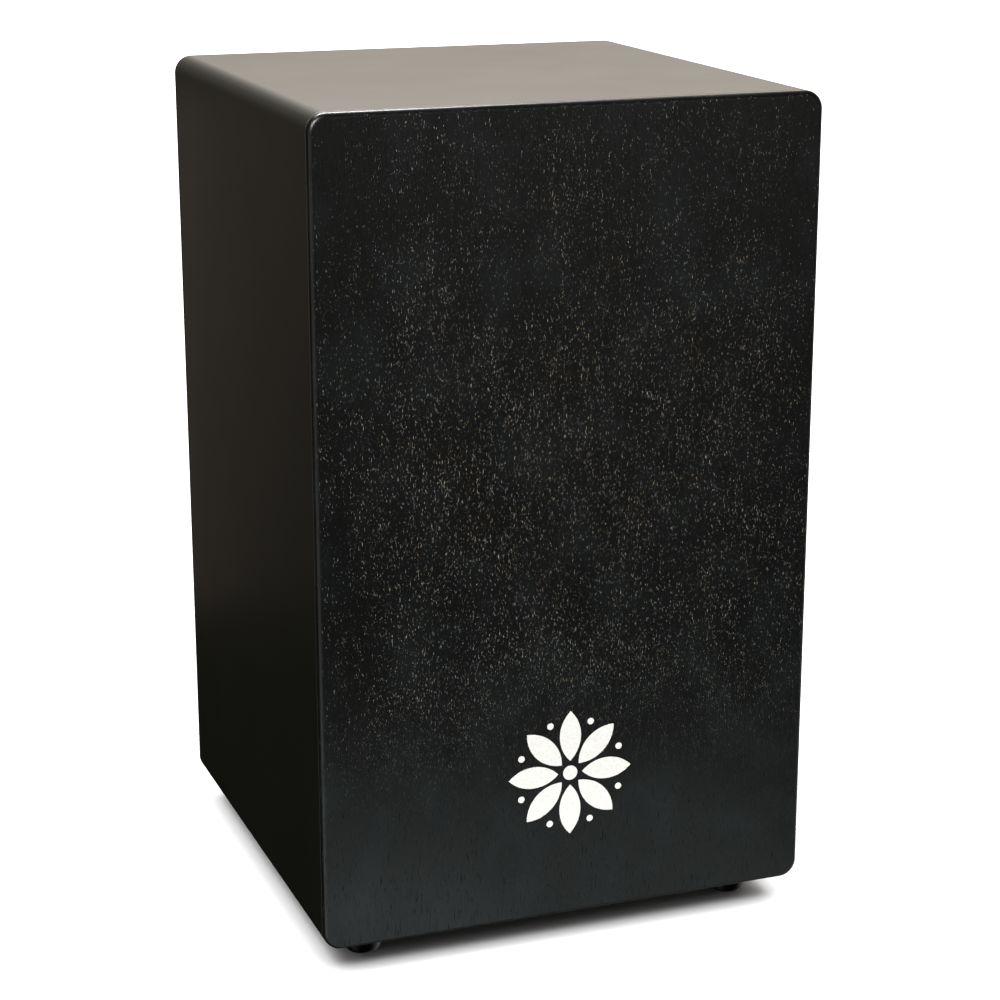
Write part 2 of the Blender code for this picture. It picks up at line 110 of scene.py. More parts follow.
def turnedShape(points, steps=48, ring=False):
    # (radius, height) points down the outer side, spun about Z
    bm = bmesh.new()
    verts = [bm.verts.new((radius, 0, height)) for radius, height in points]
    pairs = list(zip(verts, verts[1:]))
    if ring:
        pairs.append((verts[-1], verts[0]))
    for a, b in pairs:
        bm.edges.new((a, b))
    bmesh.ops.spin(
        bm, geom=bm.verts[:] + bm.edges[:], cent=(0, 0, 0), axis=(0, 0, 1), angle=math.tau,
        steps=steps, use_merge=True,
    )
    bmesh.ops.remove_doubles(bm, verts=bm.verts, dist=1e-6)
    bmesh.ops.recalc_face_normals(bm, faces=bm.faces)
    return bm


def moved(bm, matrix):
    bmesh.ops.transform(bm, matrix=matrix, verts=bm.verts)
    return bm


def joined(shapes):
    # several closed shapes in one bmesh; the shapes are used up
    whole = bmesh.new()
    for shape in shapes:
        mesh = bpy.data.meshes.new("part")
        shape.to_mesh(mesh)
        shape.free()
        whole.from_mesh(mesh)
        bpy.data.meshes.remove(mesh)
    return whole


def cutAway(bm, cutter):
    # the shape with the cutter taken out of it; both are used up
    holders = []
    for shape in (bm, cutter):
        mesh = bpy.data.meshes.new("cut")
        shape.to_mesh(mesh)
        shape.free()
        holder = bpy.data.objects.new("cut", mesh)
        bpy.context.scene.collection.objects.link(holder)
        holders.append(holder)
    boolean = holders[0].modifiers.new("cut", "BOOLEAN")
    boolean.operation = "DIFFERENCE"
    boolean.solver = "EXACT"
    boolean.object = holders[1]
    result = bmesh.new()
    result.from_object(holders[0], bpy.context.evaluated_depsgraph_get())
    for holder in holders:
        bpy.data.meshes.remove(holder.data)
    bmesh.ops.remove_doubles(result, verts=result.verts, dist=1e-7)
    return result


def turnTo(direction):
    # points a shape's +Z along a direction
    return Vector(direction).to_track_quat("Z", "Y").to_matrix().to_4x4()


def addPiece(name, bm, finishes, body="box", nodes=(), smooth=32, weighted=True):
    mesh = bpy.data.meshes.new(name)
    bm.to_mesh(mesh)
    bm.free()
    for finish in finishes:
        mesh.materials.append(finish)
    mesh.shade_smooth()
    mesh.set_sharp_from_angle(angle=math.radians(smooth))
    piece = bpy.data.objects.new(name, mesh)
    drum.objects.link(piece)
    if weighted:   # keeps the big flat faces flat beside their rounded edges
        normals = piece.modifiers.new("flat faces", "WEIGHTED_NORMAL")
        normals.keep_sharp = True
    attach(piece, body)
    if nodes:
        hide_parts(*nodes)
    return piece


def camel(node):
    first, *rest = node.split("_")
    return first + "".join(word.capitalize() for word in rest)


def colour(hexValue):
    # sRGB hex to the linear colour that a shader takes
    channels = []
    for shift in (16, 8, 0):
        value = (hexValue >> shift & 255) / 255
        channels.append(value / 12.92 if value <= 0.04045 else ((value + 0.055) / 1.055) ** 2.4)
    return (*channels, 1.0)


def plug(tree, node, inputs):
    # an input takes a node's first output, one named output, or a plain value
    for name, value in inputs.items():
        if isinstance(value, bpy.types.Node):
            value = next(socket for socket in value.outputs if socket.enabled)
        if isinstance(value, bpy.types.NodeSocket):
            tree.links.new(value, node.inputs[name])
        else:
            node.inputs[name].default_value = value


def addNode(tree, kind, inputs=None, **settings):
    node = tree.nodes.new("ShaderNode" + kind)
    for name, value in settings.items():
        setattr(node, name, value)
    plug(tree, node, inputs or {})
    return node


def newMaterial(name, baseColour, roughness, metallic=0.0):
    material = bpy.data.materials.new(name)
    material.use_nodes = True
    tree = material.node_tree
    shader = tree.nodes["Principled BSDF"]
    plug(tree, shader, {"Base Color": colour(baseColour), "Roughness": roughness, "Metallic": metallic})
    return material, tree, shader


def inMillimetres(tree, x, y, z):
    # object position in which one unit is the given number of millimetres along each axis
    place = addNode(tree, "TexCoord").outputs["Object"]
    return addNode(tree, "Mapping", {"Vector": place, "Scale": (1 / (x * mm), 1 / (y * mm), 1 / (z * mm))})


veneer = {
    "stain": 0x0A0B0A, "stainCool": 0x111413, "stainWarm": 0x0B0B09,
    "poreTan": 0xB8A88F, "poreGrey": 0xA6A8AC,
    "cloud": (34, 34, 44),     # mm
    # size of the pattern across and along the grain in mm, and how far it must rise to be a pore
    "pores": ((0.32, 3.6, 0.70, 0.81), (0.26, 1.6, 0.71, 0.81)),
    # mm: pores gather in upright bunches and loose patches
    "bunch": (3.5, 3.5, 24), "patch": (38, 38, 50),
    "gather": 0.11,            # how much more they rise there
    "fewerAbove": 320, "fewerBeyond": 90,   # mm above the floor, and mm from the middle
    "filledBelow": 80, "openAbove": 200,   # mm above the floor: painted shade fades the pale pore specks out low down
    "edgeDepth": 0.5,          # mm behind the face, from where the rounded edge has its pores filled
    "roughness": (0.28, 0.34), "wear": (22, 22, 60),   # the shine varies in patches of this size, mm
    "line": (0.55, 0.55, 7),   # mm
    "poreDepth": 0.05, "grainDepth": 0.15,   # mm
}


def stainedVeneer():
    # open-pored veneer, stained black and lacquered: near black, soft shine, cool and warm clouds, fine
    # upright
    # grain, and pale dashes: pale wood in open pores plus painted glints, faded out low down by painted
    # shade
    look = veneer
    material, tree, shader = newMaterial("black_stained_veneer", look["stain"], 0.3)
    clouds = addNode(tree, "TexNoise", {"Vector": inMillimetres(tree, *look["cloud"]), "Scale": 1.0,
                                        "Detail": 4.0})
    cool = addNode(tree, "MapRange", {"Value": clouds, "From Min": 0.48, "From Max": 0.66})
    warm = addNode(tree, "MapRange", {"Value": clouds, "From Min": 0.48, "From Max": 0.34})
    base = addNode(tree, "Mix", {0: cool, 6: colour(look["stain"]), 7: colour(look["stainCool"])},
                   data_type="RGBA")
    base = addNode(tree, "Mix", {0: warm, 6: base, 7: colour(look["stainWarm"])}, data_type="RGBA")

    # where the pale pore specks show: painted shade fades them out low down, and they thin out on the
    # rounded edge
    place = addNode(tree, "SeparateXYZ", {0: addNode(tree, "TexCoord").outputs["Object"]})
    # painted shade: the pale specks, partly painted glints, fade out towards the bottom
    speckLightByHeight = addNode(tree, "MapRange", {
        "Value": place.outputs["Z"], "To Min": 0.03, "To Max": 1.0,
        "From Min": look["filledBelow"] * mm, "From Max": look["openAbove"] * mm,
    }, interpolation_type="SMOOTHSTEP")
    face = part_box("front_plate")[0].y
    edge = addNode(tree, "MapRange", {
        "Value": place.outputs["Y"], "From Min": face + 0.1 * mm, "From Max": face + look["edgeDepth"] * mm,
        "To Min": 1.0, "To Max": 0.12,
    })
    shown = addNode(tree, "Math", {0: speckLightByHeight, 1: edge}, operation="MULTIPLY")

    # fewer towards the top and the two sides
    fromMiddle = addNode(tree, "Math", {0: place.outputs["X"]}, operation="ABSOLUTE")
    gather = addNode(tree, "MapRange", {"Value": place.outputs["Z"], "From Min": look["fewerAbove"] * mm,
                                        "From Max": cadHigh.z, "To Max": -0.28})
    gather = addNode(tree, "Math", {
        0: gather, 1: addNode(tree, "MapRange", {"Value": fromMiddle, "From Min": look["fewerBeyond"] * mm,
                                                 "From Max": cadHigh.x, "To Max": -0.25}),
    }, operation="ADD")
    for size, share in ((look["bunch"], 0.26), (look["patch"], 0.20)):
        cluster = addNode(tree, "TexNoise", {"Vector": inMillimetres(tree, *size), "Scale": 1.0})
        lift = addNode(tree, "MapRange", {"Value": cluster, "From Min": 0.2, "From Max": 0.8,
                                          "To Min": -share, "To Max": share})
        gather = addNode(tree, "Math", {0: gather, 1: lift}, operation="ADD")
    hue = addNode(tree, "TexNoise", {"Vector": inMillimetres(tree, 1.6, 1.6, 5), "Scale": 1.0})
    tint = addNode(tree, "Mix", {
        0: addNode(tree, "MapRange", {"Value": hue, "From Min": 0.42, "From Max": 0.58}),
        6: colour(look["poreTan"]), 7: colour(look["poreGrey"]),
    }, data_type="RGBA")
    pits = None
    for across, along, start, full in look["pores"]:
        size = inMillimetres(tree, across, across, along)
        dashes = addNode(tree, "TexNoise", {"Vector": size, "Scale": 1.0, "Detail": 1.0, "Roughness": 0.25})
        dashes = addNode(tree, "Math", {
            0: dashes, 1: addNode(tree, "Math", {0: gather, 1: look["gather"]}, operation="MULTIPLY"),
        }, operation="ADD")
        pit = addNode(tree, "MapRange", {"Value": dashes, "From Min": start, "From Max": full})
        pale = addNode(tree, "Math", {0: pit, 1: shown}, operation="MULTIPLY")
        base = addNode(tree, "Mix", {0: pale, 6: base, 7: tint}, data_type="RGBA")
        pits = pit if pits is None else addNode(tree, "Math", {0: pits, 1: pit}, operation="MAXIMUM")
    solid = addNode(tree, "Math", {
        0: 1.0, 1: addNode(tree, "Math", {0: pits, 1: edge}, operation="MULTIPLY"),
    }, operation="SUBTRACT")
    # sunk grain lines, plainest low down, where painted shade fades the pale specks out; the real ones are
    # finer than can show
    streaks = addNode(tree, "TexNoise", {"Vector": inMillimetres(tree, *look["line"]), "Scale": 1.0,
                                         "Detail": 1.0})
    deeperLowDown = addNode(tree, "MapRange", {"Value": speckLightByHeight, "To Min": 1.0, "To Max": 0.2})
    sunk = addNode(tree, "Math", {
        0: addNode(tree, "MapRange", {"Value": streaks, "From Min": 0.39, "From Max": 0.30}), 1: deeperLowDown,
    }, operation="MULTIPLY")
    level = addNode(tree, "Math", {0: 1.0, 1: sunk}, operation="SUBTRACT")
    wear = addNode(tree, "TexNoise", {"Vector": inMillimetres(tree, *look["wear"]), "Scale": 1.0,
                                      "Detail": 3.0})
    grain = addNode(tree, "Bump", {"Height": level, "Distance": look["grainDepth"] * mm})
    smooth, dull = look["roughness"]
    relief = addNode(tree, "Bump", {"Height": solid, "Distance": look["poreDepth"] * mm, "Normal": grain})
    plug(tree, shader, {
        "Base Color": base,
        "Roughness": addNode(tree, "MapRange", {"Value": wear, "From Min": 0.3, "From Max": 0.7,
                                                "To Min": smooth, "To Max": dull}),
        # a sunk line holds little lacquer and mirrors less
        "Specular IOR Level": addNode(tree, "MapRange", {"Value": sunk, "To Min": 0.5, "To Max": 0.2}),
        "Normal": relief,
    })
    return material


def coated(name, base, roughness, patch, grit, depth, metallic=0.0, shade=None):
    # a finish whose shine varies in patches (mm across) over a fine relief (grit mm across, depth mm deep)
    material, tree, shader = newMaterial(name, base, roughness[0], metallic)
    patches = addNode(tree, "TexNoise", {"Vector": inMillimetres(tree, patch, patch, patch), "Scale": 1.0,
                                         "Detail": 4.0})
    relief = addNode(tree, "TexNoise", {"Vector": inMillimetres(tree, grit, grit, grit), "Scale": 1.0})
    inputs = {
        "Roughness": addNode(tree, "MapRange", {"Value": patches, "From Min": 0.3, "From Max": 0.7,
                                                "To Min": roughness[0], "To Max": roughness[1]}),
        "Normal": addNode(tree, "Bump", {"Height": relief, "Distance": depth * mm}),
    }
    if shade is not None:
        inputs["Base Color"] = addNode(tree, "Mix", {
            0: addNode(tree, "MapRange", {"Value": patches, "From Min": 0.38, "From Max": 0.66}),
            6: colour(base), 7: colour(shade),
        }, data_type="RGBA")
    plug(tree, shader, inputs)
    return material


fibreboard = {"light": 0xA98A63, "dark": 0x866746, "fibre": 0x5E452D}


def rawFibreboard():
    # sawn and sanded medium-density fibreboard: flat tan, softly clouded, with short darker fibres
    material, tree, shader = newMaterial("raw_fibreboard", fibreboard["light"], 0.85)
    clouds = addNode(tree, "TexNoise", {"Vector": inMillimetres(tree, 9, 9, 9), "Scale": 1.0,
                                        "Detail": 4.0})
    flecks = addNode(tree, "TexNoise", {"Vector": inMillimetres(tree, 0.9, 0.6, 1.4), "Scale": 1.0})
    nap = addNode(tree, "TexNoise", {"Vector": inMillimetres(tree, 0.5, 0.5, 0.5), "Scale": 1.0})
    base = addNode(tree, "Mix", {
        0: addNode(tree, "MapRange", {"Value": clouds, "From Min": 0.3, "From Max": 0.7}),
        6: colour(fibreboard["light"]), 7: colour(fibreboard["dark"]),
    }, data_type="RGBA")
    base = addNode(tree, "Mix", {
        0: addNode(tree, "MapRange", {"Value": flecks, "From Min": 0.6, "From Max": 0.74}),
        6: base, 7: colour(fibreboard["fibre"]),
    }, data_type="RGBA")
    plug(tree, shader, {"Base Color": base,
                        "Normal": addNode(tree, "Bump", {"Height": nap, "Distance": 0.03 * mm})})
    return material


def bareWood(name, early, late, along, ringWidth):
    # planed bare wood: bands of early and late wood run the length of the piece, with fine fibres on top
    material, tree, shader = newMaterial(name, early, 0.6)
    bandSize = [ringWidth] * 3
    bandSize[along] = ringWidth * 40
    fibreSize = [0.5] * 3
    fibreSize[along] = 14
    bands = addNode(tree, "TexNoise", {"Vector": inMillimetres(tree, *bandSize), "Scale": 1.0,
                                       "Detail": 4.0, "Distortion": 0.5})
    fibres = addNode(tree, "TexNoise", {"Vector": inMillimetres(tree, *fibreSize), "Scale": 1.0,
                                        "Detail": 3.0, "Roughness": 0.6})
    base = addNode(tree, "Mix", {
        0: addNode(tree, "MapRange", {"Value": bands, "From Min": 0.38, "From Max": 0.62}),
        6: colour(early), 7: colour(late),
    }, data_type="RGBA")
    base = addNode(tree, "Mix", {
        0: addNode(tree, "MapRange", {"Value": fibres, "From Min": 0.52, "From Max": 0.8, "To Max": 0.45}),
        6: base, 7: colour(late),
    }, data_type="RGBA")
    plug(tree, shader, {"Base Color": base,
                        "Normal": addNode(tree, "Bump", {"Height": fibres, "Distance": 0.04 * mm})})
    return material


veneerBlack = stainedVeneer()
# sprayed satin lacquer on board: an even warm black, a broad soft sheen and faint orange peel
lacquerBlack = coated("satin_black_lacquer", 0x0C0D07, (0.39, 0.42), patch=60, grit=1.7, depth=0.006)
boardRaw = rawFibreboard()
plyInside = bareWood("birch_ply", 0xD6BC92, 0xC6A678, along=2, ringWidth=9.0)
pineWood = bareWood("planed_pine", 0xD9B37A, 0xB27C43, along=1, ringWidth=3.5)
beechWood = bareWood("planed_beech", 0xC4966A, 0xA36F44, along=0, ringWidth=2.5)
# moulded nitrile rubber: a dark grey satin skin with a fine matt grain
rubberBlack = coated("black_rubber", 0x131318, (0.26, 0.36), patch=3, grit=0.4, depth=0.012)
# bright zinc plate on pressed and rolled steel: cool grey, its shine mottled by the coat's crystals
steelZinc = coated("zinc_plated_steel", 0xC6C8CA, (0.24, 0.42), patch=2.2, grit=0.4, depth=0.004,
                   metallic=1.0, shade=0xAEB1B6)
# chemically blackened steel: charcoal with a dull oily shine
steelBlack = coated("black_oxide_steel", 0x2C2C2E, (0.30, 0.46), patch=1.5, grit=0.4, depth=0.006,
                    metallic=1.0)
# nickel plate on drawn wire and sheet: warm, bright and nearly mirror smooth
steelSnare = coated("nickel_plated_steel", 0xDAD6CE, (0.16, 0.27), patch=3, grit=0.5, depth=0.0015,
                    metallic=1.0)
# tin solder as it froze: duller and lumpy
tinSolder = coated("tin_solder", 0xB9B7B2, (0.32, 0.5), patch=0.9, grit=0.7, depth=0.03, metallic=1.0)
# screen-printed ink: flat white, a little uneven where it bridges the pores
inkWhite = coated("white_screen_ink", 0xF8F6F1, (0.42, 0.55), patch=1.6, grit=0.8, depth=0.02,
                  shade=0xEDEBE4)
print("materials made")


shot = {
    "azimuth": -21.15, "elevation": 16.56, "roll": 0.19,   # degrees
    "distance": 1.4838,
    "target": (0.0288, 0.0, 0.2014),
    "lens": 90.46, "sensor": 36.0,
    "shift": (-0.0282, 0.0211),
}


def addCamera():
    azimuth, elevation, roll = (math.radians(shot[k]) for k in ("azimuth", "elevation", "roll"))
    back = Vector((
        math.sin(azimuth) * math.cos(elevation),
        -math.cos(azimuth) * math.cos(elevation),
        math.sin(elevation),
    ))
    right = Vector((0, 0, 1)).cross(back).normalized()
    up = back.cross(right)
    tiltedRight = math.cos(roll) * right + math.sin(roll) * up
    tiltedUp = -math.sin(roll) * right + math.cos(roll) * up
    data = bpy.data.cameras.new("camera")
    data.lens = shot["lens"]
    data.sensor_width = shot["sensor"]
    data.shift_x, data.shift_y = shot["shift"]
    data.clip_end = 60
    camera = bpy.data.objects.new("camera", data)
    bpy.context.scene.collection.objects.link(camera)
    turn = Matrix((tiltedRight, tiltedUp, back)).transposed().to_4x4()
    camera.matrix_world = Matrix.Translation(Vector(shot["target"]) + back * shot["distance"]) @ turn
    bpy.context.scene.camera = camera


addCamera()
print("camera set")


box = {
    "wall": 12 * mm,
    "cornerRadius": 10 * mm, "cornerSteps": 15,   # odd, so a mitre runs down the middle of a facet
    "rimBreak": 0.4 * mm,
}


def boxTube():
    # the painted outside as one rounded block, with the inside cut out of it
    low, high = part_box("left_board")
    outerLow = Vector((low.x, low.y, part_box("bottom_board")[0].z))
    outerHigh = Vector((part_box("right_board")[1].x, high.y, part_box("top_board")[1].z))
    bm = boxShape(outerLow, outerHigh)
    bevelEdges(bm, edgesAlong(bm, 1), box["cornerRadius"], box["cornerSteps"])
    bevelEdges(bm, sharpEdges(bm, 60), box["rimBreak"], 4)
    wall = box["wall"]
    innerLow = outerLow + Vector((wall, -wall, wall))
    innerHigh = outerHigh + Vector((-wall, wall, -wall))
    return cutAway(bm, boxShape(innerLow, innerHigh)), outerLow, outerHigh


def addBoards():
    tube, low, high = boxTube()
    across = {"top_board": (0, 1), "right_board": (1, 0), "bottom_board": (0, -1), "left_board": (-1, 0)}
    for node, (sideX, sideZ) in across.items():
        bm = tube.copy()
        for turn in (-1, 1):
            # the mitre at each end of this board, facing away from it
            cornerX = sideX or turn
            cornerZ = sideZ or turn
            corner = Vector((high.x if cornerX > 0 else low.x, 0, high.z if cornerZ > 0 else low.z))
            away = Vector((cornerX, 0, cornerZ)) - 2 * Vector((sideX, 0, sideZ))
            cut = bmesh.ops.bisect_plane(
                bm, geom=bm.verts[:] + bm.edges[:] + bm.faces[:], dist=1e-7, plane_co=corner,
                plane_no=away.normalized(), clear_outer=True,
            )
            rim = [e for e in cut["geom_cut"] if isinstance(e, bmesh.types.BMEdge)]
            bmesh.ops.holes_fill(bm, edges=[e for e in rim if e.is_boundary], sides=0)
        bmesh.ops.recalc_face_normals(bm, faces=bm.faces)
        outward = Vector((sideX, 0, sideZ))
        for face in bm.faces:
            # paint only on the outside and on the broken rims
            painted = face.normal.dot(outward) > 0.3 and abs(face.normal.y) < 0.97
            face.material_index = 0 if painted else 1
        addPiece(camel(node), bm, [lacquerBlack, boardRaw], nodes=[node])
    tube.free()


addBoards()
print("boards made")


frontPlate = {"cornerRadius": 10 * mm, "edgeRadius": 3 * mm, "backBreak": 0.35 * mm}


def plateShape(node, outward, cornerRadius, edgeRadius, backBreak):
    # a plate over one end of the box: round corners, a rounded outer edge and a broken inner one
    low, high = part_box(node)
    bm = boxShape(low, high)
    bevelEdges(bm, edgesAlong(bm, 1), cornerRadius, 16)
    outerY = high.y if outward > 0 else low.y
    innerY = low.y if outward > 0 else high.y
    rim = [e for e in sharpEdges(bm, 60) if all(abs(v.co.y - outerY) < 1e-6 for v in e.verts)]
    bevelEdges(bm, rim, edgeRadius, 8)
    rim = [e for e in sharpEdges(bm, 60) if all(abs(v.co.y - innerY) < 1e-6 for v in e.verts)]
    bevelEdges(bm, rim, backBreak, 2)
    return bm


def addFrontPlate():
    bm = plateShape("front_plate", -1, frontPlate["cornerRadius"], frontPlate["edgeRadius"],
                    frontPlate["backBreak"])
    for face in bm.faces:
        face.material_index = 1 if face.normal.y > 0.97 else 0
    addPiece("frontPlate", bm, [veneerBlack, plyInside], nodes=["front_plate"])


addFrontPlate()

ornament = {
    "aboveBoxBottom": 84 * mm,
    "petals": 8, "petalFrom": 7 * mm, "petalTo": 36 * mm, "petalWidth": 12.5 * mm, "petalSteps": 14,
    "middleRadius": 4.2 * mm,
    "dotRadius": 1.9 * mm, "dotFromMiddle": 31 * mm,
    "inkThickness": 0.06 * mm,
}


def petalFace(bm, start, end, width, steps):
    # a petal is what two equal circles share: a chord of one, and its arc on each side
    half = (end - start) / 2
    sag = width / 2
    radius = (half * half + sag * sag) / (2 * sag)
    reach = math.asin(half / radius)
    outline = []
    for side in (1, -1):
        for k in range(steps):
            angle = side * (-reach + 2 * reach * k / steps)
            across = side * (radius * math.cos(angle) - radius + sag)
            outline.append(bm.verts.new((across, 0, (start + end) / 2 + radius * math.sin(angle))))
    return bm.faces.new(outline)


def addOrnament():
    bm = bmesh.new()
    petal = petalFace(bm, ornament["petalFrom"], ornament["petalTo"], ornament["petalWidth"],
                      ornament["petalSteps"])
    step = math.tau / ornament["petals"]
    for k in range(1, ornament["petals"]):
        copy = bmesh.ops.duplicate(bm, geom=[petal])["geom"]
        verts = [g for g in copy if isinstance(g, bmesh.types.BMVert)]
        bmesh.ops.rotate(bm, verts=verts, cent=(0, 0, 0), matrix=Matrix.Rotation(k * step, 3, "Y"))
    upright = Matrix.Rotation(math.radians(90), 4, "X")
    bmesh.ops.create_circle(bm, cap_ends=True, segments=40, radius=ornament["middleRadius"], matrix=upright)
    for k in range(ornament["petals"]):
        turn = Matrix.Rotation((k + 0.5) * step, 4, "Y")
        place = turn @ Matrix.Translation((0, 0, ornament["dotFromMiddle"]))
        bmesh.ops.create_circle(bm, cap_ends=True, segments=24, radius=ornament["dotRadius"],
                                matrix=place @ upright)
    bmesh.ops.recalc_face_normals(bm, faces=bm.faces)
    flat = bm.faces[:]
    grown = bmesh.ops.extrude_face_region(bm, geom=flat)["geom"]
    top = [g for g in grown if isinstance(g, bmesh.types.BMVert)]
    bmesh.ops.translate(bm, verts=top, vec=(0, -ornament["inkThickness"], 0))
    bmesh.ops.recalc_face_normals(bm, faces=bm.faces)
    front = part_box("front_plate")[0].y
    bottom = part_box("bottom_board")[0].z
    moved(bm, Matrix.Translation((0, front, bottom + ornament["aboveBoxBottom"])))
    addPiece("frontOrnament", bm, [inkWhite], weighted=False)


addOrnament()
print("front plate made")


backPlate = {
    "cornerRadius": 10 * mm, "edgeRadius": 2.5 * mm, "backBreak": 0.35 * mm,
    "holeRadius": 59 * mm, "holeAboveMiddle": 40 * mm, "holeRim": 1.5 * mm, "holeSteps": 128,
    "sinkRadius": 3.2 * mm, "sinkDepth": 2.4 * mm, "shankHole": 1.7 * mm,
}
backScrews = sorted(n for n in frame["nodes"] if n.startswith("back_screw"))


def addBackPlate():
    bm = plateShape("back_plate", 1, backPlate["cornerRadius"], backPlate["edgeRadius"],
                    backPlate["backBreak"])
    low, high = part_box("back_plate")
    thickness = high.y - low.y
    outward = Matrix.Rotation(math.radians(-90), 4, "X")   # a shape's +Z to +Y
    middle = Vector(((low.x + high.x) / 2, high.y, (low.z + high.z) / 2 + backPlate["holeAboveMiddle"]))
    hole = turnedShape([(0, 5 * mm), (backPlate["holeRadius"], 5 * mm),
                        (backPlate["holeRadius"], -thickness - 5 * mm), (0, -thickness - 5 * mm)],
                       backPlate["holeSteps"])
    bm = cutAway(bm, moved(hole, Matrix.Translation(middle) @ outward))

    def onHoleRim(e):
        out = [Vector((v.co.x - middle.x, v.co.z - middle.z)).length for v in e.verts]
        onFace = all(abs(v.co.y - high.y) < 1e-6 for v in e.verts)
        return onFace and all(abs(r - backPlate["holeRadius"]) < 1e-5 for r in out)

    bevelEdges(bm, [e for e in bm.edges if onHoleRim(e)], backPlate["holeRim"], 5)
    sinks = []
    for node in backScrews:
        screwLow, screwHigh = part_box(node)
        spread = (backPlate["sinkRadius"] - backPlate["shankHole"]) / backPlate["sinkDepth"]
        sink = turnedShape([
            (0, 1 * mm),
            (backPlate["sinkRadius"] + spread * mm, 1 * mm),
            (backPlate["shankHole"], -backPlate["sinkDepth"]),
            (backPlate["shankHole"], -thickness - 1 * mm),
            (0, -thickness - 1 * mm),
        ], 32)
        centre = (screwLow + screwHigh) / 2
        sinks.append(moved(sink, Matrix.Translation((centre.x, high.y, centre.z)) @ outward))
    bm = cutAway(bm, joined(sinks))
    for face in bm.faces:
        face.material_index = 1 if face.normal.y < -0.97 else 0
    addPiece("backPlate", bm, [lacquerBlack, boardRaw], nodes=["back_plate"])


addBackPlate()
print("back plate made")


screwKinds = {
    # node prefix: head radius, head height, shank radius, countersunk, recess radius, finish, slot
    "back_screw": (2.8, 2.0, 1.5, True, 1.7, steelBlack, "blackened_steel"),
    "foot_screw": (3.5, 2.2, 1.75, False, 2.0, steelZinc, "zinc_plated_steel"),
    "bracket_screw": (2.8, 1.8, 1.5, False, 1.6, steelZinc, "zinc_plated_steel"),
    "rail_screw": (2.8, 1.8, 1.5, False, 1.6, steelZinc, "zinc_plated_steel"),
    "clamp_screw": (2.6, 1.6, 1.5, False, 1.5, steelZinc, "zinc_plated_steel"),
}
thread = {"pitch": 1.1 * mm, "core": 0.72, "stepsPerTurn": 14, "tip": 3.0 * mm}


def crossRecess(radius, depth):
    # a tapered cross, wide at the top
    wings = []
    for turn in (0, 90):
        bm = boxShape((-radius, -0.22 * radius, -depth), (radius, 0.22 * radius, 0.4 * mm))
        for v in bm.verts:
            if v.co.z < 0:
                v.co.x *= 0.45
                v.co.y *= 0.7
        wings.append(moved(bm, Matrix.Rotation(math.radians(turn), 4, "Z")))
    return wings


def threadRidge(core, outer, fromZ, toZ):
    # a small triangle wound down the shank
    bm = bmesh.new()
    half = thread["pitch"] * 0.32
    corners = [bm.verts.new((core * 0.96, 0, half)), bm.verts.new((outer, 0, 0)),
               bm.verts.new((core * 0.96, 0, -half))]
    for a, b in zip(corners, corners[1:] + corners[:1]):
        bm.edges.new((a, b))
    steps = int((fromZ - toZ) / thread["pitch"] * thread["stepsPerTurn"])
    bmesh.ops.spin(
        bm, geom=bm.verts[:] + bm.edges[:], cent=(0, 0, 0), axis=(0, 0, 1),
        dvec=(0, 0, -thread["pitch"] / thread["stepsPerTurn"]),
        angle=math.tau * steps / thread["stepsPerTurn"], steps=steps, use_merge=False,
    )
    bmesh.ops.holes_fill(bm, edges=[e for e in bm.edges if e.is_boundary], sides=3)
    bmesh.ops.recalc_face_normals(bm, faces=bm.faces)
    return moved(bm, Matrix.Translation((0, 0, fromZ)))


def screwShape(headRadius, headHeight, shank, countersunk, recess, length):
    # height 0 is the top of the head, and the point is at -length
    core = shank * thread["core"]
    seat = -headHeight
    if countersunk:
        points = [(0, 0), (headRadius, 0), (headRadius, -0.25 * mm), (core, seat)]
    else:
        points = [(0, 0), (headRadius * 0.72, 0), (headRadius, -0.62 * headHeight), (headRadius, seat),
                  (core, seat)]
    points += [(core, -length + thread["tip"]), (0, -length)]
    bm = turnedShape(points, 28)
    if not countersunk:
        crown = [e for e in sharpEdges(bm, 20) if all(v.co.z > seat * 0.9 for v in e.verts)]
        bevelEdges(bm, crown, 0.45 * mm, 4)
    wings = crossRecess(recess * mm, headHeight * 0.7)
    for wing in wings:
        bm = cutAway(bm, wing)
    ridge = threadRidge(core, shank, seat - thread["pitch"], -length + thread["tip"] * 0.55)
    return joined([bm, ridge])


def headDirection(node):
    if node.startswith("back_screw"):
        return Vector((0, 1, 0))
    if node.startswith("clamp_screw"):
        return Vector((0, -1, 0))
    if node.startswith("bracket_screw"):
        return Vector((1 if "left" in node else -1, 0, 0))
    return Vector((0, 0, -1))


def addScrews():
    for kind, (headRadius, headHeight, shank, sunk, recess, finish, slot) in screwKinds.items():
        master = None
        for number, node in enumerate(sorted(n for n in frame["nodes"] if n.startswith(kind))):
            low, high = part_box(node)
            facing = headDirection(node)
            span = high - low
            length = abs(span.dot(facing))
            if master is None:
                master = screwShape(headRadius * mm, headHeight * mm, shank * mm, sunk, recess, length)
            twist = Matrix.Rotation(math.radians(37 * number + 11), 4, "Z")   # no two stop at one angle
            top = (low + high) / 2 + facing * length / 2
            bm = moved(master.copy(), Matrix.Translation(top) @ turnTo(facing) @ twist)
            addPiece(camel(node), bm, [finish], nodes=[node], smooth=40)
        master.free()


addScrews()
print("screws made")


foot = {
    "topRadius": 11.5 * mm, "baseRadius": 9.5 * mm, "edgeRadius": 2.5 * mm,
    "recessRadius": 5.0 * mm, "recessDepth": 6.5 * mm, "shankHole": 2.05 * mm, "steps": 72,
    "smallRadius": 0.5 * mm,   # on every other edge
}
washer = {"radius": 4.5 * mm, "bore": 2.05 * mm, "edge": 0.2 * mm, "steps": 48}


